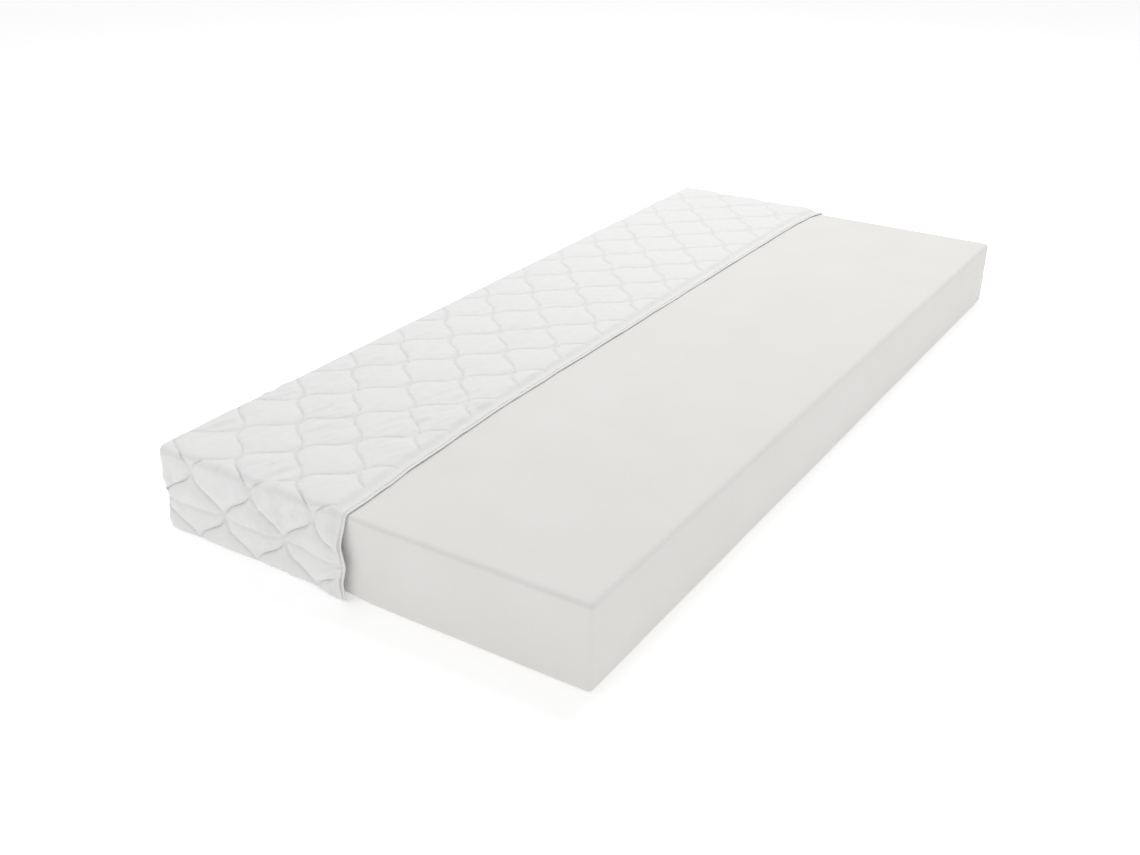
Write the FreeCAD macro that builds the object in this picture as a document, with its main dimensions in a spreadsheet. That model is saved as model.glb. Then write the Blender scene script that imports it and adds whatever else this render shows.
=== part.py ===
import FreeCAD, Part
import math
import os

import Sketcher

# A foam mattress core with a quilted cover drawn over one long half of it.
# Millimetres. X runs across the mattress, Y along it and Z up. The origin is at the middle of the
# overall box, on the plane that the mattress lies on. The cover's closed side faces -X, and its
# open edge, the hem, runs along Y on top of the core.
#
# Every quilted panel is a stack of layers. Counted outwards from the core they are the backing,
# the wadding, the face fabric and the stitching thread that lies on the face.

SIZES = (
    ("core_width", 880, "foam core across the mattress"),
    ("core_length", 1980, "foam core along the mattress"),
    ("core_height", 160, "foam core from the floor to its top"),
    ("core_edge_radius", 10, "rounding of the foam block's edges"),
    ("cover_reach", 405, "closed side of the cover to its hem"),
    ("panel_gap", 0.3, "clearance between the cover and the core"),
    ("backing_thickness", 0.5, "scrim on the inside of a panel"),
    ("wadding_thickness", 8, "wadding of the top, end and side panels"),
    ("base_wadding_thickness", 2.7, "wadding under the core, pressed flat by it"),
    ("face_thickness", 0.8, "knitted face fabric"),
    ("thread_thickness", 0.4, "height of a stitched line above the face"),
    ("dent_margin", 4, "hem to where the core's underside starts to ease down"),
    ("dent_run", 60, "length over which the underside eases down to the floor"),
    ("hem_width", 8, "overlocked edge that binds the panel's three layers"),
    ("hem_rounding", 2.5, "rounding of the overlocked edge"),
    ("needle_offset", 5, "overlocked edge to the first of the two hem stitch rows"),
    ("needle_spacing", 4, "distance between the two hem stitch rows"),
    ("needle_width", 0.8, "width of a hem stitch row"),
    ("quilt_margin", 22, "hem to where the quilting starts"),
    ("quilt_offset", 28, "hem to the middle of the first quilting line"),
    ("quilt_phase", 85, "where along Y two neighbouring lines meet"),
    ("cell_width", 139, "quilt cell across the mattress"),
    ("cell_length", 158, "quilt cell along the mattress"),
    ("neck_gap", 4, "distance between two quilting lines where they meet"),
    ("neck_radius", 20, "bend of a quilting line where it meets its neighbour"),
    ("quilt_line_width", 1, "width of a quilting line"),
    ("fold_margin", 3, "end of a quilting line to the panel's fold or seam"),
    ("seam_radius", 1.2, "sewn seam allowance inside a corner of the cover"),
    ("seam_margin", 3, "end of a seam to the seam that crosses it"),
)

document = FreeCAD.newDocument("quilted_mattress")

sheet = document.addObject("Spreadsheet::Sheet", "sizes")
for row, (alias, number, meaning) in enumerate(SIZES, start=1):
    sheet.set(f"A{row}", meaning)
    sheet.set(f"B{row}", str(number))
    sheet.setAlias(f"B{row}", alias)
document.recompute()


def beyond(start, *aliases):
    """The expression for a place that is past start by each of the named sizes."""
    return " + ".join([f"({start})"] + [f"sizes.{alias}" for alias in aliases])


def before(start, *aliases):
    """The expression for a place that is short of start by each of the named sizes."""
    return " - ".join([f"({start})"] + [f"sizes.{alias}" for alias in aliases])


def value(expression):
    """What an expression comes to, in millimetres."""
    return float(sheet.evalExpression(expression))


# Planes across the mattress, from the cover's closed side inwards.
PANEL_LAYERS = ("thread_thickness", "face_thickness", "wadding_thickness", "backing_thickness")
OVERALL_WIDTH = beyond("sizes.core_width", "panel_gap", *PANEL_LAYERS)
SIDE_THREAD = f"-({OVERALL_WIDTH}) / 2"
SIDE_FACE = beyond(SIDE_THREAD, "thread_thickness")
SIDE_WADDING = beyond(SIDE_FACE, "face_thickness")
SIDE_BACKING = beyond(SIDE_WADDING, "wadding_thickness")
SIDE_INSIDE = beyond(SIDE_BACKING, "backing_thickness")
CORE_LEFT = beyond(SIDE_INSIDE, "panel_gap")
CORE_RIGHT = beyond(CORE_LEFT, "core_width")
HEM = beyond(SIDE_THREAD, "cover_reach")
PANEL_EDGE = before(HEM, "hem_width")

# Planes along the mattress, from the middle outwards. The cover is the same at both ends.
CORE_END = "sizes.core_length / 2"
END_INSIDE = beyond(CORE_END, "panel_gap")
END_BACKING = beyond(END_INSIDE, "backing_thickness")
END_WADDING = beyond(END_BACKING, "wadding_thickness")
END_FACE = beyond(END_WADDING, "face_thickness")
END_THREAD = beyond(END_FACE, "thread_thickness")

# Planes upwards from the floor.
FLOOR = "0"
BASE_FACE = "sizes.face_thickness"
BASE_WADDING = beyond(BASE_FACE, "base_wadding_thickness")
BASE_BACKING = beyond(BASE_WADDING, "backing_thickness")
CORE_UNDERSIDE = beyond(BASE_BACKING, "panel_gap")
CORE_TOP = "sizes.core_height"
TOP_INSIDE = beyond(CORE_TOP, "panel_gap")
TOP_BACKING = beyond(TOP_INSIDE, "backing_thickness")
TOP_WADDING = beyond(TOP_BACKING, "wadding_thickness")
TOP_FACE = beyond(TOP_WADDING, "face_thickness")
TOP_THREAD = beyond(TOP_FACE, "thread_thickness")

HORIZONTAL_AXIS = -1
VERTICAL_AXIS = -2
START, END = 1, 2


def minus(expression):
    return f"-({expression})"


def new_body(label):
    body = document.addObject("PartDesign::Body", label)
    body.Label = label
    return body


def new_sketch(body, plane_role):
    """An empty sketch on one of the body's own origin planes."""
    sketch = body.newObject("Sketcher::SketchObject", f"{body.Name}_outline")
    plane = next(f for f in body.Origin.OriginFeatures if f.Role == plane_role)
    sketch.AttachmentSupport = [(plane, "")]
    sketch.MapMode = "FlatFace"
    return sketch


def add_line(sketch, start, end):
    return sketch.addGeometry(
        Part.LineSegment(FreeCAD.Vector(*start, 0), FreeCAD.Vector(*end, 0)), False
    )


def place_across(sketch, side, point, expression):
    """Holds one end of a side at a distance to the right of the sketch's origin."""
    if abs(value(expression)) < 1e-9:
        sketch.addConstraint(Sketcher.Constraint("PointOnObject", side, point, VERTICAL_AXIS))
        return
    distance = Sketcher.Constraint("DistanceX", -1, 1, side, point, value(expression))
    index = sketch.addConstraint(distance)
    sketch.setExpression(f"Constraints[{index}]", expression)


def place_up(sketch, side, point, expression):
    """Holds one end of a side at a distance above the sketch's origin."""
    if abs(value(expression)) < 1e-9:
        sketch.addConstraint(Sketcher.Constraint("PointOnObject", side, point, HORIZONTAL_AXIS))
        return
    distance = Sketcher.Constraint("DistanceY", -1, 1, side, point, value(expression))
    index = sketch.addConstraint(distance)
    sketch.setExpression(f"Constraints[{index}]", expression)


def add_square_outline(sketch, corners):
    """A closed outline of level and upright sides in turn, the first one level.

    Each corner is a pair of expressions. A level side keeps its height and an upright side keeps
    its place across, so the outline is fully held.
    """
    points = [(value(across), value(up)) for across, up in corners]
    sides = [add_line(sketch, a, b) for a, b in zip(points, points[1:] + points[:1])]
    for side, following in zip(sides, sides[1:] + sides[:1]):
        sketch.addConstraint(Sketcher.Constraint("Coincident", side, END, following, START))
    for number_of_side, (side, (across, up)) in enumerate(zip(sides, corners)):
        if number_of_side % 2 == 0:
            sketch.addConstraint(Sketcher.Constraint("Horizontal", side))
            place_up(sketch, side, START, up)
        else:
            sketch.addConstraint(Sketcher.Constraint("Vertical", side))
            place_across(sketch, side, START, across)


def rectangle(low, high):
    """The four corners between two expression pairs, starting along the bottom."""
    return [low, (high[0], low[1]), high, (low[0], high[1])]


def pad_along_x(body, sketch, x_from, x_to):
    pad = body.newObject("PartDesign::Pad", f"{body.Name}_pad")
    pad.Profile = sketch
    pad.setExpression("Length", f"({x_to}) - ({x_from})")
    body.setExpression("Placement.Base.x", x_from)
    return pad


def round_edges(body, feature, wanted, radius):
    """Rounds the edges of a feature for which wanted(edge) is true."""
    document.recompute()
    names = [f"Edge{i}" for i, edge in enumerate(feature.Shape.Edges, start=1) if wanted(edge)]
    fillet = body.newObject("PartDesign::Fillet", f"{body.Name}_rounding")
    fillet.Base = (feature, names)
    fillet.setExpression("Radius", radius)
    return fillet


def make_flat_panel(label, x_span, y_span, z_span):
    """A flat layer between six planes: its plan is sketched and padded upwards."""
    body = new_body(label)
    plan = new_sketch(body, "XY_Plane")
    add_square_outline(plan, rectangle((x_span[0], y_span[0]), (x_span[1], y_span[1])))
    pad = body.newObject("PartDesign::Pad", f"{label}_pad")
    pad.Profile = plan
    pad.setExpression("Length", f"({z_span[1]}) - ({z_span[0]})")
    body.setExpression("Placement.Base.z", z_span[0])
    return body


def make_wrapped_layer(label, x_span, end_span, top_span, foot):
    """A layer that lies over the top and hangs down both ends as one length of material."""
    body = new_body(label)
    profile = new_sketch(body, "YZ_Plane")
    inner_end, outer_end = end_span
    inner_top, outer_top = top_span
    corners = [
        (minus(outer_end), foot),
        (minus(inner_end), foot),
        (minus(inner_end), inner_top),
        (inner_end, inner_top),
        (inner_end, foot),
        (outer_end, foot),
        (outer_end, outer_top),
        (minus(outer_end), outer_top),
    ]
    add_square_outline(profile, corners)
    pad_along_x(body, profile, *x_span)
    return body


def make_foam_core():
    """The foam block. Its covered half is pressed in from below by the cover's base panel."""
    body = new_body("foam_core")
    profile = new_sketch(body, "XZ_Plane")
    dent_start = beyond(HEM, "dent_margin")
    dent_end = beyond(dent_start, "dent_run")
    left, right = value(CORE_LEFT), value(CORE_RIGHT)
    low, high = value(CORE_UNDERSIDE), value(CORE_TOP)
    start, finish = value(dent_start), value(dent_end)
    run = finish - start
    ease_radius = (run**2 + low**2) / (4 * low)
    turn = 2 * math.atan2(low, run)
    up = FreeCAD.Vector(0, 0, 1)
    upper = Part.Circle(FreeCAD.Vector(start, low - ease_radius, 0), up, ease_radius)
    lower = Part.Circle(FreeCAD.Vector(finish, ease_radius, 0), up, ease_radius)

    covered = add_line(profile, (left, low), (start, low))
    upper_ease = profile.addGeometry(
        Part.ArcOfCircle(upper, math.pi / 2 - turn, math.pi / 2), False
    )
    lower_ease = profile.addGeometry(
        Part.ArcOfCircle(lower, 3 * math.pi / 2 - turn, 3 * math.pi / 2), False
    )
    bare = add_line(profile, (finish, 0), (right, 0))
    right_side = add_line(profile, (right, 0), (right, high))
    top_side = add_line(profile, (right, high), (left, high))
    left_side = add_line(profile, (left, high), (left, low))

    for first, first_end, second, second_end in (
        (bare, END, right_side, START),
        (right_side, END, top_side, START),
        (top_side, END, left_side, START),
        (left_side, END, covered, START),
    ):
        profile.addConstraint(
            Sketcher.Constraint("Coincident", first, first_end, second, second_end)
        )
    for first, first_end, second, second_end in (
        (covered, END, upper_ease, END),
        (upper_ease, START, lower_ease, START),
        (lower_ease, END, bare, START),
    ):
        profile.addConstraint(
            Sketcher.Constraint("Tangent", first, first_end, second, second_end)
        )
    profile.addConstraint(Sketcher.Constraint("Equal", upper_ease, lower_ease))
    for side in (covered, bare, top_side):
        profile.addConstraint(Sketcher.Constraint("Horizontal", side))
    for side in (right_side, left_side):
        profile.addConstraint(Sketcher.Constraint("Vertical", side))
    place_up(profile, covered, START, CORE_UNDERSIDE)
    place_up(profile, bare, START, FLOOR)
    place_up(profile, top_side, START, CORE_TOP)
    place_across(profile, left_side, START, CORE_LEFT)
    place_across(profile, right_side, START, CORE_RIGHT)
    place_across(profile, covered, END, dent_start)
    place_across(profile, bare, START, dent_end)

    pad = body.newObject("PartDesign::Pad", "foam_core_pad")
    pad.Profile = profile
    pad.Midplane = True
    pad.setExpression("Length", "sizes.core_length")

    def is_outer_edge(edge):
        ends = [vertex.Point for vertex in edge.Vertexes]
        if abs(ends[0].y - ends[1].y) < 1:
            return True
        return min(abs(ends[0].x - left), abs(ends[0].x - right)) < 1e-3

    round_edges(body, pad, is_outer_edge, "sizes.core_edge_radius")
    return body


def make_hem_edge():
    """The overlocked edge: a band of thread round the whole mouth of the cover."""
    body = new_body("hem_overlock_edge")
    profile = new_sketch(body, "YZ_Plane")
    outer_low = (minus(END_FACE), "sizes.thread_thickness")
    inner_low = (minus(END_INSIDE), BASE_BACKING)
    add_square_outline(profile, rectangle(outer_low, (END_FACE, TOP_FACE)))
    add_square_outline(profile, rectangle(inner_low, (END_INSIDE, TOP_INSIDE)))
    pad = pad_along_x(body, profile, PANEL_EDGE, HEM)
    top, end = value(TOP_FACE), value(END_FACE)

    def is_on_outer_face(edge):
        centre = edge.CenterOfMass
        along_mouth = edge.Vertexes[0].Point.x - edge.Vertexes[1].Point.x
        is_outside = abs(centre.z - top) < 1e-3 or abs(abs(centre.y) - end) < 1e-3
        return is_outside and abs(along_mouth) < 1e-3

    round_edges(body, pad, is_on_outer_face, "sizes.hem_rounding")
    return body


def make_rod(name, radius, length, placement):
    """A straight sewn allowance, as a cylinder along its own Z axis."""
    rod = document.addObject("Part::Cylinder", name)
    rod.setExpression("Radius", radius)
    rod.setExpression("Height", length)
    rod.Placement = placement
    return rod


TURNED_ALONG_X = FreeCAD.Rotation(FreeCAD.Vector(0, 1, 0), 90)
TURNED_ALONG_Y = FreeCAD.Rotation(FreeCAD.Vector(1, 0, 0), -90)
UPRIGHT = FreeCAD.Rotation()

# The middle of each seam allowance, one radius in from the two panels that it joins.
SEAM_LEFT = beyond(SIDE_INSIDE, "seam_radius")
SEAM_LOW = beyond(BASE_BACKING, "seam_radius")
SEAM_HIGH = before(TOP_INSIDE, "seam_radius")
SEAM_END = before(END_INSIDE, "seam_radius")


def make_seam(name, turned, start, length):
    """One seam allowance from a start of three expressions, in the direction it is turned."""
    rod = make_rod(name, "sizes.seam_radius", length, FreeCAD.Placement(FreeCAD.Vector(), turned))
    for axis, expression in zip("xyz", start):
        rod.setExpression(f"Placement.Base.{axis}", expression)
    return rod


def make_lengthwise_seam(label, height):
    """A seam along the closed side, between the two upright corner seams."""
    start = minus(before(SEAM_END, "seam_radius", "seam_margin"))
    seam = make_seam(label, TURNED_ALONG_Y, (SEAM_LEFT, start, height), f"-2 * ({start})")
    seam.Label = label
    return seam


def make_seam_pair(label, seams):
    """The same seam at both ends of the mattress, as one group of two solids."""
    pair = document.addObject("Part::Compound", label)
    pair.Links = seams
    pair.Label = label
    return pair


def make_corner_seams():
    start = beyond(SEAM_LOW, "seam_radius", "seam_margin")
    finish = before(SEAM_HIGH, "seam_radius", "seam_margin")
    seams = [
        make_seam(f"{name}_corner_seam", UPRIGHT, (SEAM_LEFT, y, start), f"({finish}) - ({start})")
        for name, y in (("near", minus(SEAM_END)), ("far", SEAM_END))
    ]
    return make_seam_pair("side_corner_seams", seams)


def make_base_end_seams():
    start = beyond(SEAM_LEFT, "seam_radius", "seam_margin")
    length = f"({PANEL_EDGE}) - ({start})"
    seams = [
        make_seam(f"{name}_base_seam", TURNED_ALONG_X, (start, y, SEAM_LOW), length)
        for name, y in (("near", minus(SEAM_END)), ("far", SEAM_END))
    ]
    return make_seam_pair("base_end_seams", seams)


# One quilting line swings from side to side as a zigzag with rounded corners. Neighbouring lines
# mirror each other, so that they meet at the necks and enclose the cells between them.
LINE_SPACING = value("sizes.cell_width / 2")
HALF_CELL = value("sizes.cell_length / 2")
NECK_RADIUS = value("sizes.neck_radius")
LINE_HALF_WIDTH = value("sizes.quilt_line_width / 2")
SWING = (LINE_SPACING - value("sizes.neck_gap")) / 2


def zigzag_corner(swing, neck_radius, half_cell):
    """How far the sharp corner of a zigzag is from its middle, if rounding leaves it at swing."""
    squeeze = 1 - (2 * neck_radius / half_cell) ** 2
    inner = swing - neck_radius
    root = math.sqrt(inner**2 - squeeze * (inner**2 - neck_radius**2))
    return (inner + root) / squeeze


def quilting_line(middle, first_meeting, first_side, count):
    """The outline of one line, lying flat, as a solid one thread high."""
    corner = zigzag_corner(SWING, NECK_RADIUS, HALF_CELL)
    slope = math.atan2(2 * corner, HALF_CELL)
    edges_by_side = []
    ends_by_side = []
    for outline_side in (-1, 1):
        edges = []
        ends = []
        for step in range(count):
            swing_side = first_side * (-1) ** step
            radius = NECK_RADIUS + outline_side * swing_side * LINE_HALF_WIDTH
            centre_x = middle + swing_side * (corner - NECK_RADIUS / math.cos(slope))
            centre_y = first_meeting + step * HALF_CELL
            arc_points = [
                FreeCAD.Vector(
                    centre_x + swing_side * radius * math.cos(angle),
                    centre_y + radius * math.sin(angle),
                    0,
                )
                for angle in (-slope, 0, slope)
            ]
            if ends:
                edges.append(Part.LineSegment(ends[-1], arc_points[0]).toShape())
            edges.append(Part.Arc(*arc_points).toShape())
            ends += [arc_points[0], arc_points[2]]
        edges_by_side.append(edges)
        ends_by_side.append(ends)
    closing = [
        Part.LineSegment(ends_by_side[0][i], ends_by_side[1][i]).toShape() for i in (0, -1)
    ]
    loops = Part.sortEdges(edges_by_side[0] + edges_by_side[1] + closing)
    face = Part.Face(Part.Wire(loops[0]))
    return face.extrude(FreeCAD.Vector(0, 0, value("sizes.thread_thickness")))


def quilting_on_strip(first_middle, line_count, low, high):
    """All the quilting lines on a flat strip, kept to the rectangle from low to high."""
    thickness = value("sizes.thread_thickness")
    area = Part.makeBox(
        high[0] - low[0], high[1] - low[1], thickness, FreeCAD.Vector(low[0], low[1], 0)
    )
    phase = value("sizes.quilt_phase")
    first_step = math.floor((low[1] - phase) / HALF_CELL) - 1
    step_count = math.ceil((high[1] - low[1]) / HALF_CELL) + 4
    pieces = []
    for line in range(line_count):
        middle = first_middle - line * LINE_SPACING
        first_side = -1 if (line + first_step) % 2 == 0 else 1
        whole = quilting_line(middle, phase + first_step * HALF_CELL, first_side, step_count)
        pieces += whole.common(area).Solids
    return pieces


def turned_copy(pieces, axis, degrees, origin_before, origin_after):
    """Pieces moved so that one point lands on another, turned about it on the way."""
    placement = FreeCAD.Placement(origin_after, FreeCAD.Rotation(axis, degrees), FreeCAD.Vector())
    placement = placement.multiply(FreeCAD.Placement(-origin_before, FreeCAD.Rotation()))
    return [piece.transformed(placement.toMatrix()) for piece in pieces]


def add_thread_group(label, pieces):
    group = document.addObject("Part::Feature", label)
    group.Label = label
    group.Shape = Part.Compound(pieces)
    return group


def make_wrap_quilting():
    """The lines on the top, which run on without a break down both end drops."""
    margin = value("sizes.fold_margin")
    end, top = value(END_FACE), value(TOP_FACE)
    left = value(SIDE_WADDING) + margin
    right = value(before(HEM, "quilt_margin"))
    first_middle = value(before(HEM, "quilt_offset"))
    line_count = math.ceil((first_middle + SWING - left) / LINE_SPACING)
    drop = top - margin
    across = FreeCAD.Vector(1, 0, 0)

    def strip(low_y, high_y):
        return quilting_on_strip(first_middle, line_count, (left, low_y), (right, high_y))

    pieces = turned_copy(
        strip(margin - end, end - margin),
        across,
        0,
        FreeCAD.Vector(),
        FreeCAD.Vector(0, 0, top),
    )
    for side in (-1, 1):
        low_y, high_y = sorted((side * (end + margin), side * (end + drop)))
        fold = FreeCAD.Vector(0, side * end, 0)
        landing = FreeCAD.Vector(0, side * end, top)
        pieces += turned_copy(strip(low_y, high_y), across, -90 * side, fold, landing)
    return add_thread_group("wrap_quilting_threads", pieces)


def make_side_quilting():
    """The lines on the closed side, which run along it."""
    margin = value("sizes.fold_margin")
    end, top, face = value(END_FACE), value(TOP_FACE), value(SIDE_FACE)
    first_middle = (top + LINE_SPACING) / 2
    line_count = math.floor((first_middle - SWING) / LINE_SPACING) + 1
    pieces = quilting_on_strip(
        first_middle, line_count, (margin, margin - end), (top - margin, end - margin)
    )
    along = FreeCAD.Vector(0, 1, 0)
    pieces = turned_copy(pieces, along, -90, FreeCAD.Vector(), FreeCAD.Vector(face, 0, 0))
    return add_thread_group("side_quilting_threads", pieces)


def both_ways(expression):
    return (minus(expression), expression)


PANEL_SPAN = (SIDE_WADDING, PANEL_EDGE)
FIRST_ROW = before(PANEL_EDGE, "needle_offset", "needle_width")
SECOND_ROW = before(FIRST_ROW, "needle_spacing")

sub_parts = [
    make_foam_core(),
    # The wrap panel: one length of quilt over the top and down both ends.
    make_wrapped_layer(
        "wrap_face_fabric", PANEL_SPAN, (END_WADDING, END_FACE), (TOP_WADDING, TOP_FACE), FLOOR
    ),
    make_flat_panel(
        "top_wadding", PANEL_SPAN, both_ways(END_WADDING), (TOP_BACKING, TOP_WADDING)
    ),
    make_flat_panel(
        "near_end_wadding",
        PANEL_SPAN,
        (minus(END_WADDING), minus(END_BACKING)),
        (BASE_BACKING, TOP_BACKING),
    ),
    make_flat_panel(
        "far_end_wadding", PANEL_SPAN, (END_BACKING, END_WADDING), (BASE_BACKING, TOP_BACKING)
    ),
    make_wrapped_layer(
        "wrap_backing",
        PANEL_SPAN,
        (END_INSIDE, END_BACKING),
        (TOP_INSIDE, TOP_BACKING),
        BASE_BACKING,
    ),
    # The side panel closes the cover at -X.
    make_flat_panel(
        "side_face_fabric", (SIDE_FACE, SIDE_WADDING), both_ways(END_FACE), (FLOOR, TOP_FACE)
    ),
    make_flat_panel(
        "side_wadding",
        (SIDE_WADDING, SIDE_BACKING),
        both_ways(END_INSIDE),
        (BASE_BACKING, TOP_INSIDE),
    ),
    make_flat_panel(
        "side_backing",
        (SIDE_BACKING, SIDE_INSIDE),
        both_ways(END_INSIDE),
        (BASE_BACKING, TOP_INSIDE),
    ),
    # The base panel lies under the covered half.
    make_flat_panel("base_face_fabric", PANEL_SPAN, both_ways(END_WADDING), (FLOOR, BASE_FACE)),
    make_flat_panel("base_wadding", PANEL_SPAN, both_ways(END_WADDING), (BASE_FACE, BASE_WADDING)),
    make_flat_panel(
        "base_backing", PANEL_SPAN, both_ways(END_WADDING), (BASE_WADDING, BASE_BACKING)
    ),
    # The hem and its two stitch rows.
    make_hem_edge(),
    make_wrapped_layer(
        "hem_stitch_row_outer",
        (FIRST_ROW, beyond(FIRST_ROW, "needle_width")),
        (END_FACE, END_THREAD),
        (TOP_FACE, TOP_THREAD),
        "sizes.thread_thickness",
    ),
    make_wrapped_layer(
        "hem_stitch_row_inner",
        (SECOND_ROW, beyond(SECOND_ROW, "needle_width")),
        (END_FACE, END_THREAD),
        (TOP_FACE, TOP_THREAD),
        "sizes.thread_thickness",
    ),
    # The quilting threads and the seams inside the cover.
    make_wrap_quilting(),
    make_side_quilting(),
    make_lengthwise_seam("side_top_seam", SEAM_HIGH),
    make_lengthwise_seam("side_base_seam", SEAM_LOW),
    make_corner_seams(),
    make_base_end_seams(),
]

document.recompute()

for item in document.Objects:
    if {"Invalid", "Error"} & set(item.State):
        raise RuntimeError(f"{item.Label} did not recompute: {item.State}")

for sub_part in sub_parts:
    if sub_part.Shape.isNull() or not sub_part.Shape.isValid():
        raise RuntimeError(f"{sub_part.Label} has no valid shape")

os.makedirs("parts", exist_ok=True)
for sub_part in sub_parts:
    box = sub_part.Shape.BoundBox
    print(
        f"{sub_part.Label}: {len(sub_part.Shape.Solids)} solids, "
        f"x {box.XMin:.1f} to {box.XMax:.1f}, y {box.YMin:.1f} to {box.YMax:.1f}, "
        f"z {box.ZMin:.1f} to {box.ZMax:.1f}, {sub_part.Shape.Volume / 1000:.1f} cubic cm"
    )
    sub_part.Shape.exportStep(f"parts/{sub_part.Label}.step")
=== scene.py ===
# %% [markdown]
# A foam mattress with its quilted cover drawn over one long half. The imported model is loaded
# first, because every visual piece takes its place and size from it. All lengths are in metres:
# X runs across the mattress, Y along it and Z up.

# %% Load the frame
import math

import bmesh
import bpy
import numpy as np
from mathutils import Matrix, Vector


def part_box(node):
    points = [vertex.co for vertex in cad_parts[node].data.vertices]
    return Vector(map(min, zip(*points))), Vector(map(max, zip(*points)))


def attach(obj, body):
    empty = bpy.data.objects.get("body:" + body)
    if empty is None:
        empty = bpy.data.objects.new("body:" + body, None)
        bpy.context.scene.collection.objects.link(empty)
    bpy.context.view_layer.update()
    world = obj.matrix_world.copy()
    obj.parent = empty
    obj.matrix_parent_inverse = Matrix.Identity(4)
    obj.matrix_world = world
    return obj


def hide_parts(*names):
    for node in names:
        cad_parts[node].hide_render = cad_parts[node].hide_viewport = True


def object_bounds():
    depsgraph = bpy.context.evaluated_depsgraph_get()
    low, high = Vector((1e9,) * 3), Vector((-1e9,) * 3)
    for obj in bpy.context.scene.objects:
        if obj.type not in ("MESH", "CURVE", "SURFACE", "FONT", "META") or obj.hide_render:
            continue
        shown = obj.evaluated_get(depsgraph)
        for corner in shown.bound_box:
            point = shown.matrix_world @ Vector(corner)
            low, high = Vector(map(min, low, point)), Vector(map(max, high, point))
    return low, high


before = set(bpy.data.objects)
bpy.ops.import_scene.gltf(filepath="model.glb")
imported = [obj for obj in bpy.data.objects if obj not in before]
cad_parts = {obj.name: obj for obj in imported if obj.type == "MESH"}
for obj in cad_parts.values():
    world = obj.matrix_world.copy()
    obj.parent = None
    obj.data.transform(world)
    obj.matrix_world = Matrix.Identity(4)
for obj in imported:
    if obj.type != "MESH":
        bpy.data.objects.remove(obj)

MM = 0.001
cad_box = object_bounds()
print("the frame is", [round(high - low, 3) for low, high in zip(*cad_box)], "m")

# %% [markdown]
# The camera stands at the near end, to the bare side, and looks down along the mattress. It could
# be aimed at a target by a constraint. A place and three angles say the same in two lines and
# can't drift. The lens is a little longer than a phone's, so the block doesn't look stretched.

# %% The camera
CAMERA_PLACE = (1.2185, -2.2826, 1.1954)
CAMERA_ANGLES = (63.52, -0.51, 32.46)
CAMERA_LENS = 40.05
camera = bpy.data.objects.new("camera", bpy.data.cameras.new("camera"))
camera.data.lens = CAMERA_LENS
camera.location = CAMERA_PLACE
camera.rotation_euler = [math.radians(angle) for angle in CAMERA_ANGLES]
camera.data.clip_end = 50
bpy.context.collection.objects.link(camera)
bpy.context.scene.camera = camera
print("camera at", CAMERA_PLACE, "with a", CAMERA_LENS, "mm lens")

# %% [markdown]
# The places that the pieces share are read from the frame: the foam's box, the hem, and how far
# the quilt stands off the foam. They could be typed in as numbers, but then a change to the model
# would leave the pieces behind. The thicknesses below are the quilt's own. It is thickest in the
# middle of a cell and is pinched to a thin layer along every line of stitches.

# %% Shared places and sizes
core_low, core_high = (np.array(corner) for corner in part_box("foam_core"))
hem_low, hem_high = (np.array(corner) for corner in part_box("hem_overlock_edge"))
HEM_X = hem_high[0]
PANEL_EDGE_X = hem_low[0]
CORE_LEFT = core_low[0]
CORE_END = core_high[1]
CORE_TOP = core_high[2]
QUILT_THICKNESS = cad_box[1][2] - CORE_TOP
CLEARANCE = 0.4 * MM
STITCHED_THICKNESS = 4.0 * MM
SEAM_THICKNESS = 1.6 * MM
SIDE_SEAM_THICKNESS = 6.3 * MM
BASE_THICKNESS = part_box("base_backing")[1][2]
FOAM_EDGE_RADIUS = 10 * MM
print("hem at", round(HEM_X, 3), "quilt", round(QUILT_THICKNESS, 4))

# %% [markdown]
# Cloth and foam are never perfectly even, so several pieces use a smooth random wobble. A
# displacement texture could do it, but the thread has to follow the very same surface as the
# cloth. A small table of seeded random numbers, blended between its entries, gives the same wobble
# to both, on each run, and works on whole arrays of points at once.

# %% Helpers for smooth steps and wobbles
TABLE_SIZE = 64


def smooth_step(x):
    x = np.clip(x, 0, 1)
    return x * x * (3 - 2 * x)


def wobble(a, b, seed):
    """A smooth random value from -1 to 1 for each pair, changing over about one unit."""
    table = np.random.default_rng(seed).uniform(-1, 1, (TABLE_SIZE, TABLE_SIZE))
    cell_a, cell_b = np.floor(a).astype(int), np.floor(b).astype(int)
    blend_a, blend_b = smooth_step(a - cell_a), smooth_step(b - cell_b)

    def corner(i, j):
        return table[(cell_a + i) % TABLE_SIZE, (cell_b + j) % TABLE_SIZE]

    near = corner(0, 0) * (1 - blend_a) + corner(1, 0) * blend_a
    far = corner(0, 1) * (1 - blend_a) + corner(1, 1) * blend_a
    return near * (1 - blend_b) + far * blend_b


def rounded_rise(distance, reach):
    """0 at a seam or stitch line, then up like a quarter circle to 1 at the reach."""
    return np.sqrt(1 - (1 - np.clip(distance / reach, 0, 1)) ** 2)


# %% [markdown]
# Every piece here is a mesh built from numbers, so one helper turns an array of points and a list
# of faces into an object. A second one stores where each point lies on the flat cloth. The knit is
# drawn in those coordinates later, so that it follows the cloth round the folds.


# %% Helpers for meshes
def new_mesh_object(name, points, faces, smooth=True):
    """An object from an array of points and a list or array of faces."""
    mesh = bpy.data.meshes.new(name)
    mesh.from_pydata(np.asarray(points).tolist(), [], [list(face) for face in faces])
    mesh.polygons.foreach_set("use_smooth", [smooth] * len(mesh.polygons))
    mesh.update()
    piece = bpy.data.objects.new(name, mesh)
    bpy.context.collection.objects.link(piece)
    print(name, len(points), "points", len(faces), "faces")
    return piece


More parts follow.
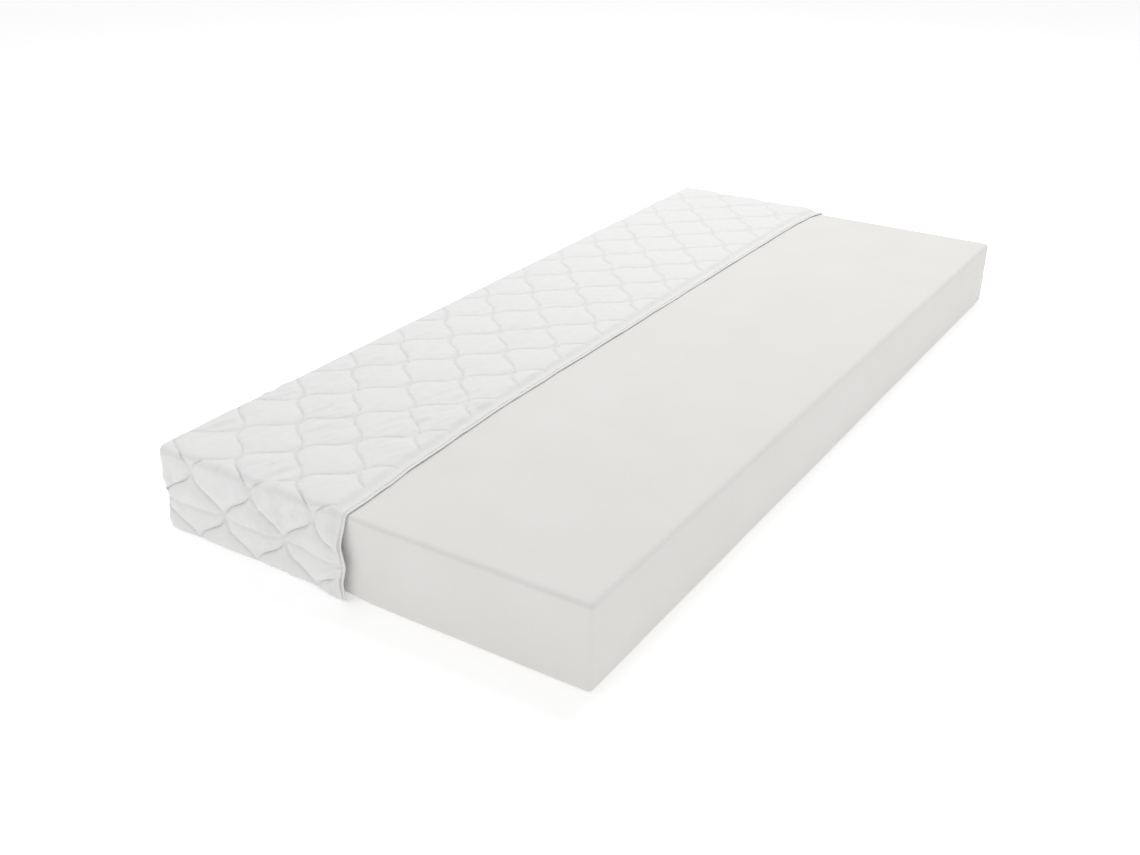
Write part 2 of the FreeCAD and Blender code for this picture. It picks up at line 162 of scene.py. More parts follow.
def add_cloth_coordinates(piece, across, along):
    """Stores where each point is on the flat cloth, so that the knit follows the cloth."""
    attribute = piece.data.attributes.new("cloth", "FLOAT_VECTOR", "POINT")
    flat = np.zeros((len(across), 3), np.float32)
    flat[:, 0], flat[:, 1] = across, along
    attribute.data.foreach_set("vector", flat.ravel())


# %% [markdown]
# The quilting is a lattice of wavy stitch lines that run along the mattress. Neighbouring lines
# mirror each other: they meet at narrow necks and swing apart between them, which gives the
# onion-shaped cells. Each line is a sine-like wave, a little flatter at the necks. The lines could
# be curves drawn by hand. A formula is used because the puffs, the grooves and the thread then all
# follow the very same path.

# %% The quilting lines
HALF_CELL = 79.5 * MM
HALF_CELL_ON_END = 69.5 * MM
LINE_SPACING = 69.5 * MM
NECK_GAP = 5.5 * MM
NECK_FLATNESS = 0.22
SWING = (LINE_SPACING - NECK_GAP) / 2
FIRST_MEETING = 85 * MM
FIRST_LINE_X = HEM_X - 28 * MM
LAST_TOP_MEETING = -945 * MM
DRIFT_SPREAD = 0.3
FAR_AWAY = 1.0


def half_cells_along(along):
    """How many half cells lie between the first meeting and a place along the wrap panel."""
    on_top = np.clip(along, LAST_TOP_MEETING, -LAST_TOP_MEETING)
    return (on_top - FIRST_MEETING) / HALF_CELL + (along - on_top) / HALF_CELL_ON_END


def wave(half_cells):
    turn = np.pi * half_cells
    return np.cos(turn) * (1 + NECK_FLATNESS * np.sin(turn) ** 2)


def line_places(half_cells, first_place, count, drift=0.0):
    """Where each line is at these distances along: one row for each line."""
    numbers = np.arange(count)[:, None]
    sides = np.where(numbers % 2 == 0, -1, 1)
    middle = first_place - numbers * LINE_SPACING - drift * (1 + DRIFT_SPREAD * numbers)
    return middle + sides * SWING * wave(half_cells)[None, :]


def distances_to_lines(across, places, half_cells, half_cell_length):
    """The distances square to the nearest line on each side of every point."""
    step = 1e-4
    slope = SWING * (wave(half_cells + step) - wave(half_cells - step)) / (2 * step)
    tilt = 1 / np.sqrt(1 + (slope / half_cell_length) ** 2)
    offsets = (across[None, :] - places) * tilt[None, :]
    above = np.where(offsets >= 0, offsets, FAR_AWAY).min(axis=0)
    below = np.where(offsets < 0, -offsets, FAR_AWAY).min(axis=0)
    return above, below


print("lines", round(LINE_SPACING / MM, 1), "mm apart, cells", round(2 * HALF_CELL / MM), "mm long")


# %% [markdown]
# The wrap panel is one length of quilt over the top and down both ends. It is easiest to design
# flat, with one coordinate across and one along, and then to fold over the foam: straight on top,
# a quarter turn round the foam's edge, and straight down. The open edge isn't quite straight. It
# flares at both ends, where the cloth is slack, and the lattice follows it. A bent sheet or a
# lattice modifier could give the same fold, but only a formula can also place the thread on it.

# %% The path of the wrap panel over the foam
FOLD_RADIUS = 7 * MM
FOLD_OFFSET = 5 * MM
FOLD_START = CORE_END - FOLD_RADIUS
FOLD_LENGTH = (FOLD_RADIUS + FOLD_OFFSET) * math.pi / 2
FOOT_GAP = 3 * MM
DROP_LENGTH = CORE_TOP - FOLD_RADIUS - FOOT_GAP
WRAP_HALF_LENGTH = FOLD_START + FOLD_LENGTH + DROP_LENGTH
WRAP_LEFT = cad_box[0][0] - 1 * MM
LINE_COUNT = 7
LEAN = 8 * MM
FLARE_REACH = 70 * MM
HELD_REACH = 110 * MM
HEM_WANDER = 1.3
HEM_WANDER_LENGTH = 55 * MM

# The hem's shift towards the bare side: places along in metres, and shifts in millimetres.
HEM_SHIFTS = (
    (-1.153, 20), (-1.12, 17), (-1.085, 26), (-1.05, 19), (-1.0, 24), (-0.95, 24), (-0.88, 19),
    (-0.8, 12), (-0.65, 5), (-0.5, 0), (0.5, 0), (0.85, 1), (0.93, 8), (0.99, 21), (1.153, 16),
)


def hem_shift(along):
    """The hem's shift in metres, eased between the named places."""
    places, shifts = (np.array(column) for column in zip(*HEM_SHIFTS))
    index = np.clip(np.searchsorted(places, along) - 1, 0, len(places) - 2)
    part = smooth_step((along - places[index]) / (places[index + 1] - places[index]))
    straight = np.interp(along, places, shifts)
    eased = shifts[index] * (1 - part) + shifts[index + 1] * part
    uneven = HEM_WANDER * wobble(along / HEM_WANDER_LENGTH, np.full_like(along, 0.5), 15)
    return ((straight + eased) / 2 + uneven) * MM


def flared(across, along):
    """Moves flat places across with the flare of the hem and the lean of the near corner."""
    follow = 0.5 + 0.5 * np.exp((across - HEM_X) / FLARE_REACH)
    hold = smooth_step((across - WRAP_LEFT) / HELD_REACH)
    lean = LEAN * np.clip((-along - FOLD_START) / (WRAP_HALF_LENGTH - FOLD_START), 0, 1)
    return across + hem_shift(along) * follow * hold + lean * (1 - hold)


def wrap_place(across, along, offset):
    """Points at an offset outwards from the foam, for flat places on the wrap panel."""
    side = np.sign(along)
    beyond = np.abs(along) - FOLD_START
    turn = np.clip(beyond / FOLD_LENGTH, 0, 1) * math.pi / 2
    down = np.maximum(beyond - FOLD_LENGTH, 0)
    reach = FOLD_RADIUS + offset
    on_top = np.minimum(np.abs(along), FOLD_START)
    y = side * (on_top + reach * np.sin(turn))
    z = CORE_TOP - FOLD_RADIUS + reach * np.cos(turn) - down
    return np.stack([flared(across, along), y, z], axis=1)


print("the wrap panel is", round(2 * WRAP_HALF_LENGTH, 3), "m long when flat")

# %% [markdown]
# The puffs are made the way that they form on the real thing. The face fabric is a little larger
# than the space between the stitches, and the wadding presses it out. A flat sheet the size of
# the wrap panel is pinned along every stitch line, allowed to grow a few per cent and pushed up
# by a gentle pressure. It is ten times life size, because Blender's cloth is steadier on large
# sheets. After twenty steps its heights are kept as numbers. The sheet itself is removed, because
# the panel below only needs its shape.

# %% The cloth simulation of the puffs
HEM_BAND = 21 * MM
LINE_DRIFT = 9 * MM
DRIFT_START = -0.75
DRIFT_RAMP = 0.75
DRIFT_END = 1.02
DRIFT_FADE = 0.1
CLOTH_STEP = 6.6 * MM
CLOTH_SCALE = 10
CLOTH_FRAMES = 20
CLOTH_GROWTH = 0.06
CLOTH_PINNED = 0.55
CLOTH_FULL = 92
CLOTH_HIGHEST = 1.25
CLOTH_SHARE = 0.5


def wrap_lines(along):
    """The lines on the wrap panel. Away from the near end they drift to the closed side."""
    rise = smooth_step((along - DRIFT_START) / DRIFT_RAMP)
    drift = LINE_DRIFT * rise * smooth_step((DRIFT_END - along) / DRIFT_FADE)
    return line_places(half_cells_along(along), FIRST_LINE_X, LINE_COUNT, drift)


def distances_on_wrap(across, along):
    half_cells = half_cells_along(along)
    return distances_to_lines(across, wrap_lines(along), half_cells, HALF_CELL)


def simulate_puffs():
    """Heights of the blown-up sheet on a regular grid over the flat wrap panel."""
    columns = round((HEM_X - WRAP_LEFT) / CLOTH_STEP)
    rows = round(2 * WRAP_HALF_LENGTH / CLOTH_STEP)
    across_axis = np.linspace(WRAP_LEFT, HEM_X, columns)
    along_axis = np.linspace(-WRAP_HALF_LENGTH, WRAP_HALF_LENGTH, rows)
    along, across = (part.ravel() for part in np.meshgrid(along_axis, across_axis, indexing="ij"))
    above, below = distances_on_wrap(across, along)
    free = (np.minimum(above, below) > CLOTH_STEP * CLOTH_PINNED) & (across > WRAP_LEFT + CLOTH_STEP)
    free &= (across < HEM_X - HEM_BAND) & (np.abs(along) < WRAP_HALF_LENGTH - CLOTH_STEP)
    start = np.where(free, np.random.default_rng(5).uniform(0, 0.4, len(across)) * MM, 0)
    numbers = np.arange(rows * columns).reshape(rows, columns)
    corners = (numbers[:-1, :-1], numbers[:-1, 1:], numbers[1:, 1:], numbers[1:, :-1])
    squares = np.stack([corner.ravel() for corner in corners], axis=1)
    points = np.stack([across, along, start], axis=1) * CLOTH_SCALE
    sheet = new_mesh_object("cloth_sheet", points, squares.tolist())
    pins = sheet.vertex_groups.new(name="pins")
    pins.add(np.nonzero(~free)[0].tolist(), 1.0, "REPLACE")
    cloth = sheet.modifiers.new("cloth", "CLOTH")
    cloth.settings.vertex_group_mass = "pins"
    cloth.settings.quality = 6
    cloth.settings.mass = 0.15
    cloth.settings.tension_stiffness = 12
    cloth.settings.compression_stiffness = 12
    cloth.settings.shear_stiffness = 4
    cloth.settings.bending_stiffness = 0.15
    cloth.settings.shrink_min = -CLOTH_GROWTH
    cloth.settings.use_pressure = True
    cloth.settings.uniform_pressure_force = 2.5
    cloth.settings.effector_weights.gravity = 0
    cloth.point_cache.frame_start = 1
    cloth.point_cache.frame_end = CLOTH_FRAMES
    scene = bpy.context.scene
    for frame_number in range(1, CLOTH_FRAMES + 1):
        scene.frame_set(frame_number)
    done = sheet.evaluated_get(bpy.context.evaluated_depsgraph_get())
    places = np.zeros(len(points) * 3)
    done.data.vertices.foreach_get("co", places)
    heights = places.reshape(-1, 3)[:, 2].reshape(rows, columns) / CLOTH_SCALE
    scene.frame_set(1)
    bpy.data.objects.remove(sheet)
    print("simulated puffs up to", round(heights.max() / MM, 1), "mm high")
    return np.clip(heights / np.percentile(heights, CLOTH_FULL), 0, CLOTH_HIGHEST)


puff_heights = simulate_puffs()


def simulated_puff(across, along, puff):
    """The simulated height, 0 to about 1, blended between the sheet's points."""
    if puff_heights is None:
        return puff
    rows, columns = puff_heights.shape
    row = (along + WRAP_HALF_LENGTH) / (2 * WRAP_HALF_LENGTH) * (rows - 1)
    column = (across - WRAP_LEFT) / (HEM_X - WRAP_LEFT) * (columns - 1)
    low_row = np.clip(np.floor(row).astype(int), 0, rows - 2)
    low_column = np.clip(np.floor(column).astype(int), 0, columns - 2)
    by_row, by_column = np.clip(row - low_row, 0, 1), np.clip(column - low_column, 0, 1)

    def value(i, j):
        return puff_heights[low_row + i, low_column + j]

    low = value(0, 0) * (1 - by_column) + value(0, 1) * by_column
    high = value(1, 0) * (1 - by_column) + value(1, 1) * by_column
    return (low * (1 - by_row) + high * by_row) * np.minimum(1, 1.5 * puff)


# %% [markdown]
# The quilt's height above the foam comes from a few simple rules, and could be sculpted instead.
# Rules are used because they can be read, changed and checked one at a time. The first ones are
# the puff and the groove: the quilt is thin at a stitch line and round and full inside a cell.

# %% Puffs and grooves
PUFF_REACH = 34 * MM
GROOVE_REACH = 7 * MM
GROOVE_DEPTH = 3.2 * MM


def pillow(above, below):
    return rounded_rise(above, PUFF_REACH) * rounded_rise(below, PUFF_REACH)


def groove(above, below):
    """1 away from the stitches, and quickly down to 0 at a line."""
    return rounded_rise(np.minimum(above, below), GROOVE_REACH)


# %% [markdown]
# On the end faces the quilt has buckled under its own weight. It bulges above and below a crease
# at half height, the necks between the cells are tucked in deep, and near the hem the slack cloth
# stands away from the foam. Small folds fan out from the place where the hem is pinched.

# %% The end faces
CREASE_HEIGHT = 72 * MM
CREASE_DEPTH = 3.6 * MM
CREASE_HALF_WIDTH = 2.4 * MM
RIDGE_ABOVE = 7 * MM
RIDGE_HALF_WIDTH = 5 * MM
STAND_OFF = 11 * MM
STAND_OFF_REACH = 95 * MM
PINCH_HEIGHT = 2.6 * MM
PINCH_REACH = 22 * MM
PINCH_FOLDS = 9
BULGE = 4.5 * MM
TUCK_DEPTH = 2.2 * MM
TUCK_LENGTH = 14 * MM
TUCK_HALF_WIDTH = 7 * MM


def height_on_drop(along):
    """The height above the floor on the end faces, and more than the foam's on top."""
    return WRAP_HALF_LENGTH + FOOT_GAP - np.abs(along)


def hem_stand_off(across, along):
    """How far the slack cloth near the hem stands away from the foam's end face."""
    height = height_on_drop(along)
    near_hem = smooth_step(1 - (HEM_X - across) / STAND_OFF_REACH)
    down = smooth_step((165 * MM - height) / (60 * MM))
    return STAND_OFF * near_hem * down


def crease_depth(across, along):
    """The buckle across the diamond cells at half height of the end faces."""
    height = height_on_drop(along) - CREASE_HEIGHT
    wander = 3 * MM * wobble(across / (50 * MM), np.sign(along) * 2.5, 11)
    strength = 0.75 + 0.45 * wobble(across / (45 * MM), np.sign(along) * 1.5, 12)
    fold = np.exp(-(((height - wander) / CREASE_HALF_WIDTH) ** 2))
    ridge = np.exp(-(((height - wander - RIDGE_ABOVE) / RIDGE_HALF_WIDTH) ** 2))
    return CREASE_DEPTH * strength * (fold - 0.4 * ridge)


def pinch_folds(across, along):
    """Small folds that fan out from the hem, where it is pinched at half height."""
    out = HEM_X - across
    up = height_on_drop(along) - CREASE_HEIGHT
    distance = np.hypot(out, up)
    fan = np.cos(PINCH_FOLDS * np.arctan2(up, out)) * np.exp(-distance / PINCH_REACH)
    return PINCH_HEIGHT * fan * smooth_step(distance / (9 * MM))


def end_bulge(along):
    """The fullness of the end faces above and below the crease."""
    part = np.clip(height_on_drop(along) / (2 * CREASE_HEIGHT), 0, 1)
    return BULGE * np.abs(np.sin(2 * np.pi * part)) * np.abs(np.sin(np.pi * part))


def neck_pockets(across, along):
    """The deep tucks on the end faces where two stitch lines meet."""
    half_cells = half_cells_along(along)
    nearest = np.rint(half_cells)
    meeting_distance = (half_cells - nearest) * HALF_CELL_ON_END
    from_line = np.abs(across[None] - wrap_lines(along)).min(axis=0)
    on_drop = smooth_step((np.abs(along) - FOLD_START) / (12 * MM))
    tuck = np.exp(-((meeting_distance / TUCK_LENGTH) ** 2 + (from_line / TUCK_HALF_WIDTH) ** 2))
    return TUCK_DEPTH * tuck * on_drop


# %% [markdown]
# Fine wrinkles run along the mattress, where the cloth was pulled sideways onto the foam. By the
# hem two rows of stitches draw the quilt flat, and the thread gathers it into short puckers.

# %% Wrinkles and puckers
WRINKLE_HEIGHT = 3.4 * MM
PUCKER_HEIGHT = 0.55 * MM


def wrinkles(across, along):
    """Fine folds that run along the mattress, in patches, strongest at the near end."""
    slanted = across - 0.25 * along
    fold = wobble(slanted / (10 * MM), along / (55 * MM), 21)
    fold += 0.6 * wobble(slanted / (6 * MM), along / (35 * MM), 22)
    patch = smooth_step(0.6 + wobble(across / (90 * MM), along / (110 * MM), 23))
    near = 0.3 + 0.7 * smooth_step((0.1 - along) / 0.9)
    return WRINKLE_HEIGHT * fold * patch * near


def hem_puckers(across, along):
    """Short gathers square to the hem, where the stitch rows draw the edge together."""
    distance = HEM_X - across
    gather = wobble(across / (16 * MM), along / (5 * MM), 31)
    gather += 0.6 * wobble(across / (6 * MM), along / (3.5 * MM), 32)
    return PUCKER_HEIGHT * gather * smooth_step(1.4 - distance / (30 * MM))


# %% [markdown]
# The whole height is put together here. The quilt is pinched along the stitch lines, swells in the
# cells, lies flat in the band by the hem and thins out towards the seams at its left edge and foot.

# %% The height of the quilt on the wrap panel
FOOT_REACH = 9 * MM
LEFT_REACH = 4 * MM
DROP_THINNING = 2.6 * MM
OVERFILL = 2.0 * MM
DROP_OVERFILL = 0.5 * MM
FLAT_BAND = 3.9 * MM
OUTER_ROW = 14 * MM
INNER_ROW = 18.5 * MM
ROW_DIP = 1.3 * MM
ROW_HALF_WIDTH = 1.6 * MM
THINNEST = 1.2 * MM


def wrap_height(across, along):
    """The quilt's outer surface above the foam."""
    above, below = distances_on_wrap(across, along)
    puff = pillow(above, below)
    on_drop = smooth_step((np.abs(along) - FOLD_START) / (30 * MM))
    stitched = STITCHED_THICKNESS - DROP_THINNING * on_drop
    full = QUILT_THICKNESS - GROOVE_DEPTH - stitched + OVERFILL + DROP_OVERFILL * on_drop
    blown = puff * (1 - CLOTH_SHARE) + CLOTH_SHARE * simulated_puff(across, along, puff)
    height = stitched + GROOVE_DEPTH * groove(above, below) + full * blown
    height += wrinkles(across, along) * puff
    distance = HEM_X - across
    flat_band = FLAT_BAND + hem_puckers(across, along)
    rows = np.exp(-(((distance - OUTER_ROW) / ROW_HALF_WIDTH) ** 2))
    rows += np.exp(-(((distance - INNER_ROW) / ROW_HALF_WIDTH) ** 2))
    flat_band = flat_band - ROW_DIP * rows
    band = smooth_step((distance - HEM_BAND + 2 * MM) / (9 * MM))
    height = height * band + flat_band * (1 - band)
    height += end_bulge(along) * puff - crease_depth(across, along)
    height += pinch_folds(across, along) - neck_pockets(across, along)
    height = np.maximum(height, THINNEST)
    edge = rounded_rise(across - WRAP_LEFT, LEFT_REACH)
    flat = np.minimum(height, SIDE_SEAM_THICKNESS)
    height = flat + (height - flat) * edge
    edge = rounded_rise(WRAP_HALF_LENGTH - np.abs(along), FOOT_REACH)
    height = SEAM_THICKNESS + (np.maximum(height, SEAM_THICKNESS) - SEAM_THICKNESS) * edge
    return height + hem_stand_off(across, along)


def wrap_surface(across, along):
    return wrap_place(across, along, wrap_height(across, along))


cell_middle = (np.array([FIRST_LINE_X - LINE_SPACING / 2]), np.array([FIRST_MEETING - 11 * HALF_CELL]))
print("the middle of a cell is", round(wrap_height(*cell_middle)[0] / MM, 1), "mm above the foam")

# %% [markdown]
# The panels are meshed as rows of points. In each row the point nearest to a stitch line is moved
# onto it, and every square is cut along the diagonal that joins two such points. The edges of the
# mesh then run along the stitches, so each groove stays crisp. A plain grid with a displacement
# would need many more points for that.


# %% The outer face of a panel
def lined_grid(across_span, along_span, across_step, along_step, places_at):
    """Flat places and triangles of a grid whose edges follow the quilting lines."""
    columns = round((across_span[1] - across_span[0]) / across_step) // 4 * 4 + 1
    rows = round((along_span[1] - along_span[0]) / along_step) // 4 * 4 + 1
    across_axis = np.linspace(*across_span, columns)
    along_axis = np.linspace(*along_span, rows)
    across = np.tile(across_axis, (rows, 1))
    step = across_axis[1] - across_axis[0]
    lines = places_at(along_axis)
    for places in lines:
        index = np.rint((places - across_span[0]) / step).astype(int)
        kept = np.nonzero((index > 0) & (index < columns - 1))[0]
        across[kept, index[kept]] = places[kept]
    from_line = np.abs(across[None] - lines[:, :, None]).min(axis=0).ravel()
    along = np.repeat(along_axis, columns)
    numbers = np.arange(rows * columns).reshape(rows, columns)
    corners = (numbers[:-1, :-1], numbers[:-1, 1:], numbers[1:, 1:], numbers[1:, :-1])
    a, b, c, d = (corner.ravel() for corner in corners)
    falling = np.abs(from_line[b] - from_line[d]) < np.abs(from_line[a] - from_line[c])
    falling = falling[:, None]
    first = np.where(falling, np.stack([a, b, d], 1), np.stack([a, b, c], 1))
    second = np.where(falling, np.stack([b, c, d], 1), np.stack([a, c, d], 1))
    return across.ravel(), along, np.concatenate([first, second]), (rows, columns)


# %% [markdown]
# Inside, a quilt has a thin lining. It lies on the foam, is nearly smooth and is seldom seen, so
# its mesh is four times coarser. It keeps every point of the rim, where short faces join it to the
# outer face. The panel is then a closed solid, as the real one has a thickness.

# %% The inside face and the whole panel
LINING_COARSENESS = 4


def lining_faces(shape, coarse, first_new):
    """Faces of the inside: coarse squares that keep every point of the rim."""
    rows, columns = shape
    outer = np.arange(rows * columns).reshape(shape)
    used = np.zeros(shape, bool)
    used[::coarse, ::coarse] = True
    used[[0, -1]] = True
    used[:, [0, -1]] = True
    new_numbers = np.full(shape, -1)
    new_numbers[used] = first_new + np.arange(used.sum())
    faces = []
    for i in range(0, rows - 1, coarse):
        for j in range(0, columns - 1, coarse):
            loop = [(i, j + k) for k in range(coarse)]
            loop += [(i + k, j + coarse) for k in range(coarse)]
            loop += [(i + coarse, j + coarse - k) for k in range(coarse)]
            loop += [(i + coarse - k, j) for k in range(coarse)]
            face = [new_numbers[place] for place in loop if used[place]]
            faces.append(face[::-1])
    ring = [(0, j) for j in range(columns - 1)] + [(i, columns - 1) for i in range(rows - 1)]
    ring += [(rows - 1, j) for j in range(columns - 1, 0, -1)]
    ring += [(i, 0) for i in range(rows - 1, 0, -1)]
    for here, there in zip(ring, ring[1:] + ring[:1]):
        faces.append([outer[there], outer[here], new_numbers[here], new_numbers[there]])
    return outer[used], faces


def quilted_panel(name, grid, surface, inside, flip=False):
    """A closed quilted panel: the outer face, the lining and the rim between them."""
    across, along, triangles, shape = grid
    outer_points = surface(across, along)
    used, extra = lining_faces(shape, LINING_COARSENESS, len(across))
    inner_points = inside(across[used], along[used])
    faces = triangles.tolist() + extra
    if flip:
        faces = [face[::-1] for face in faces]
    points = np.concatenate([outer_points, inner_points])
    panel = new_mesh_object(name, points, faces)
    all_across = np.concatenate([across, across[used]])
    add_cloth_coordinates(panel, all_across, np.concatenate([along, along[used]]))
    lining = [0] * len(triangles) + [1] * len(extra)
    panel.data.polygons.foreach_set("material_index", lining)
    return panel


# %% [markdown]
# The wrap panel is the largest piece. Its outer face follows the height worked out above and its
# lining lies on the foam, except near the hem, where both stand away from the end faces together.

# %% The wrap panel
PANEL_UNDER_HEM = 3 * MM


def wrap_inside(across, along):
    """The lining, which lies on the foam but follows the slack cloth near the hem."""
    return wrap_place(across, along, CLEARANCE + hem_stand_off(across, along))


wrap_grid = lined_grid(
    (WRAP_LEFT, PANEL_EDGE_X + PANEL_UNDER_HEM),
    (-WRAP_HALF_LENGTH, WRAP_HALF_LENGTH),
    4.2 * MM,
    2.5 * MM,
    wrap_lines,
)
wrap_panel = quilted_panel("wrap_panel", wrap_grid, wrap_surface, wrap_inside)

# %% [markdown]
# The side panel closes the long side. It is quilted like the rest and sewn to the wrap panel and
# the base all round, so its edges are drawn in and its middle stands out. At the near end it is
# thinner towards the floor, where the cover is pulled tight. It uses the same grid as the wrap
# panel, stood on its edge, so the two look cut from one cloth.

# %% The side panel
SIDE_TOP = CORE_TOP + 0.5 * MM
SIDE_FOOT = BASE_THICKNESS
SIDE_HALF_LENGTH = CORE_END + 1 * MM
SEAM_REACH = 7 * MM
SIDE_LINES = 3
SIDE_FIRST_LINE = CORE_TOP - 12 * MM
SIDE_UNEVENNESS = 0.8 * MM
SIDE_TIGHTNESS = 0.6


def side_lines(along):
    return line_places((along - FIRST_MEETING) / HALF_CELL, SIDE_FIRST_LINE, SIDE_LINES)


def side_height(up, along):
    half_cells = (along - FIRST_MEETING) / HALF_CELL
    above, below = distances_to_lines(up, side_lines(along), half_cells, HALF_CELL)
    puff = pillow(above, below)
    full = QUILT_THICKNESS - STITCHED_THICKNESS - GROOVE_DEPTH
    height = STITCHED_THICKNESS + GROOVE_DEPTH * groove(above, below) + full * puff
    height += SIDE_UNEVENNESS * wobble(along / (60 * MM), up / (30 * MM), 41) * puff
    edge = rounded_rise(SIDE_TOP - up, SEAM_REACH) * rounded_rise(up - SIDE_FOOT, FOOT_REACH)
    edge = edge * rounded_rise(SIDE_HALF_LENGTH - np.abs(along), SEAM_REACH)
    height = SIDE_SEAM_THICKNESS + (height - SIDE_SEAM_THICKNESS) * edge
    tight = smooth_step((SIDE_TOP - up) / CORE_TOP) * smooth_step((-0.85 - along) / 0.15)
    return height * (1 - SIDE_TIGHTNESS * tight)


def side_surface(up, along):
    return np.stack([CORE_LEFT - side_height(up, along), along, up], axis=1)


def side_inside(up, along):
    return np.stack([np.full_like(up, CORE_LEFT - CLEARANCE), along, up], axis=1)


side_grid = lined_grid(
    (SIDE_FOOT, SIDE_TOP),
    (-SIDE_HALF_LENGTH, SIDE_HALF_LENGTH),
    4.2 * MM,
    3.2 * MM,
    side_lines,
)
side_panel = quilted_panel("side_panel", side_grid, side_surface, side_inside)

# %% [markdown]
# The base panel lies under the covered half. The foam presses it flat, so its cells only show as
# shallow grooves on the side that meets the floor. It is hardly seen, so a coarse grid will do.

# %% The base panel
BASE_GROOVE = 1.2 * MM
BASE_GROOVE_REACH = 12 * MM
BASE_EDGE_REACH = 6 * MM


def base_lines(along):
    return line_places((along - FIRST_MEETING) / HALF_CELL, FIRST_LINE_X, LINE_COUNT)


def base_surface(across, along):
    half_cells = (along - FIRST_MEETING) / HALF_CELL
    above, below = distances_to_lines(across, base_lines(along), half_cells, HALF_CELL)
    puff = rounded_rise(np.minimum(above, below), BASE_GROOVE_REACH)
    edge = rounded_rise(across - WRAP_LEFT, BASE_EDGE_REACH)
    edge = edge * rounded_rise(SIDE_HALF_LENGTH - np.abs(along), BASE_EDGE_REACH)
    up = BASE_GROOVE * (1 - puff) * edge + (BASE_THICKNESS - SEAM_THICKNESS) * (1 - edge)
    return np.stack([across, along, up], axis=1)


def base_inside(across, along):
    return np.stack([across, along, np.full_like(across, BASE_THICKNESS)], axis=1)


base_grid = lined_grid(
    (WRAP_LEFT, PANEL_EDGE_X + PANEL_UNDER_HEM),
    (-SIDE_HALF_LENGTH, SIDE_HALF_LENGTH),
    8 * MM,
    6 * MM,
    base_lines,
)
base_panel = quilted_panel("base_panel", base_grid, base_surface, base_inside, flip=True)

# %% [markdown]
# The foam core is one block cut from a larger bun with a blade, so its faces are flat and its
# edges only slightly rounded. A cube with a bevel would come close. Here it is meshed as a box
# with closer rows at the edges, and every point is pushed out from an inner box by the edge
# radius, because the faces then also take a wobble of a fraction of a millimetre. That keeps them
# from looking machined. The underside is pressed in where the cover's base panel lies.

# %% The foam block
FOAM_STEP = 14 * MM
FOAM_EDGE_STEPS = (0, 0.9, 2, 3.4, 5.2, 7.4, 10)
FOAM_WOBBLE = 0.35 * MM
DENT_START = HEM_X + 4 * MM
DENT_RUN_OUT = 60 * MM
DENT_HEIGHT = 60 * MM


def edge_refined_axis(low, high):
    """Places from low to high with extra ones near both ends."""
    edge = np.array(FOAM_EDGE_STEPS) * MM
    middle = np.linspace(low + edge[-1], high - edge[-1], max(2, round((high - low) / FOAM_STEP)))
    return np.concatenate([low + edge[:-1], middle, high - edge[:-1][::-1]])


def foam_face(fixed_axis, fixed_value, first, second, flip):
    """One face of the block as a grid of points and squares."""
    grid_first, grid_second = np.meshgrid(first, second, indexing="ij")
    points = np.zeros((grid_first.size, 3))
    axes = [axis for axis in range(3) if axis != fixed_axis]
    points[:, fixed_axis] = fixed_value
    points[:, axes[0]], points[:, axes[1]] = grid_first.ravel(), grid_second.ravel()
    numbers = np.arange(grid_first.size).reshape(grid_first.shape)
    corners = (numbers[:-1, :-1], numbers[1:, :-1], numbers[1:, 1:], numbers[:-1, 1:])
    squares = np.stack([corner.ravel() for corner in corners], axis=1)
    return points, squares[:, ::-1] if flip else squares


def round_foam(points):
    """Rounds the box, adds the wobble and presses in the covered underside."""
    inner_low, inner_high = core_low + FOAM_EDGE_RADIUS, core_high - FOAM_EDGE_RADIUS
    nearest = np.clip(points, inner_low, inner_high)
    outward = points - nearest
    length = np.linalg.norm(outward, axis=1, keepdims=True)
    outward = outward / np.maximum(length, 1e-9)
    x, y, z = points.T
    uneven = wobble(x / 0.11 + 3 * z, y / 0.13 + 5 * z, 51) + 0.4 * wobble(x / 0.03, y / 0.04, 52)
    radius = FOAM_EDGE_RADIUS - FOAM_WOBBLE * (1 + uneven)
    rounded = nearest + outward * radius[:, None]
    dent = (BASE_THICKNESS + CLEARANCE) * (1 - smooth_step((x - DENT_START) / DENT_RUN_OUT))
    low_part = smooth_step((DENT_HEIGHT - rounded[:, 2]) / DENT_HEIGHT)
    rounded[:, 2] += dent * low_part
    return rounded


def make_foam_block():
    """Six faces joined along their edges, then rounded."""
    axes = [edge_refined_axis(core_low[axis], core_high[axis]) for axis in range(3)]
    all_points, all_faces, count = [], [], 0
    for fixed, flips in ((0, (True, False)), (1, (False, True)), (2, (True, False))):
        first, second = [axes[axis] for axis in range(3) if axis != fixed]
        for fixed_value, flip in zip((core_low[fixed], core_high[fixed]), flips):
            points, faces = foam_face(fixed, fixed_value, first, second, flip)
            all_points.append(points)
            all_faces.append(faces + count)
            count += len(points)
    block = new_mesh_object(
        "foam_block", np.concatenate(all_points), np.concatenate(all_faces).tolist()
    )
    mesh = bmesh.new()
    mesh.from_mesh(block.data)
    bmesh.ops.remove_doubles(mesh, verts=mesh.verts, dist=1e-5)
    mesh.to_mesh(block.data)
    mesh.free()
    points = np.zeros(len(block.data.vertices) * 3)
    block.data.vertices.foreach_get("co", points)
    points = round_foam(points.reshape(-1, 3))
    block.data.vertices.foreach_set("co", points.ravel())
    block.data.update()
    return block


foam_block = make_foam_block()

# %% [markdown]
# Thread shows as rows of short stitches that dip into the cloth at each needle hole. Each stitch
# could be an object of its own, but there are thousands. One tube does a whole row: its radius
# swells in the middle of each stitch and shrinks at the holes. The path is resampled to the
# stitch length, and the tube follows the cloth's own surface.

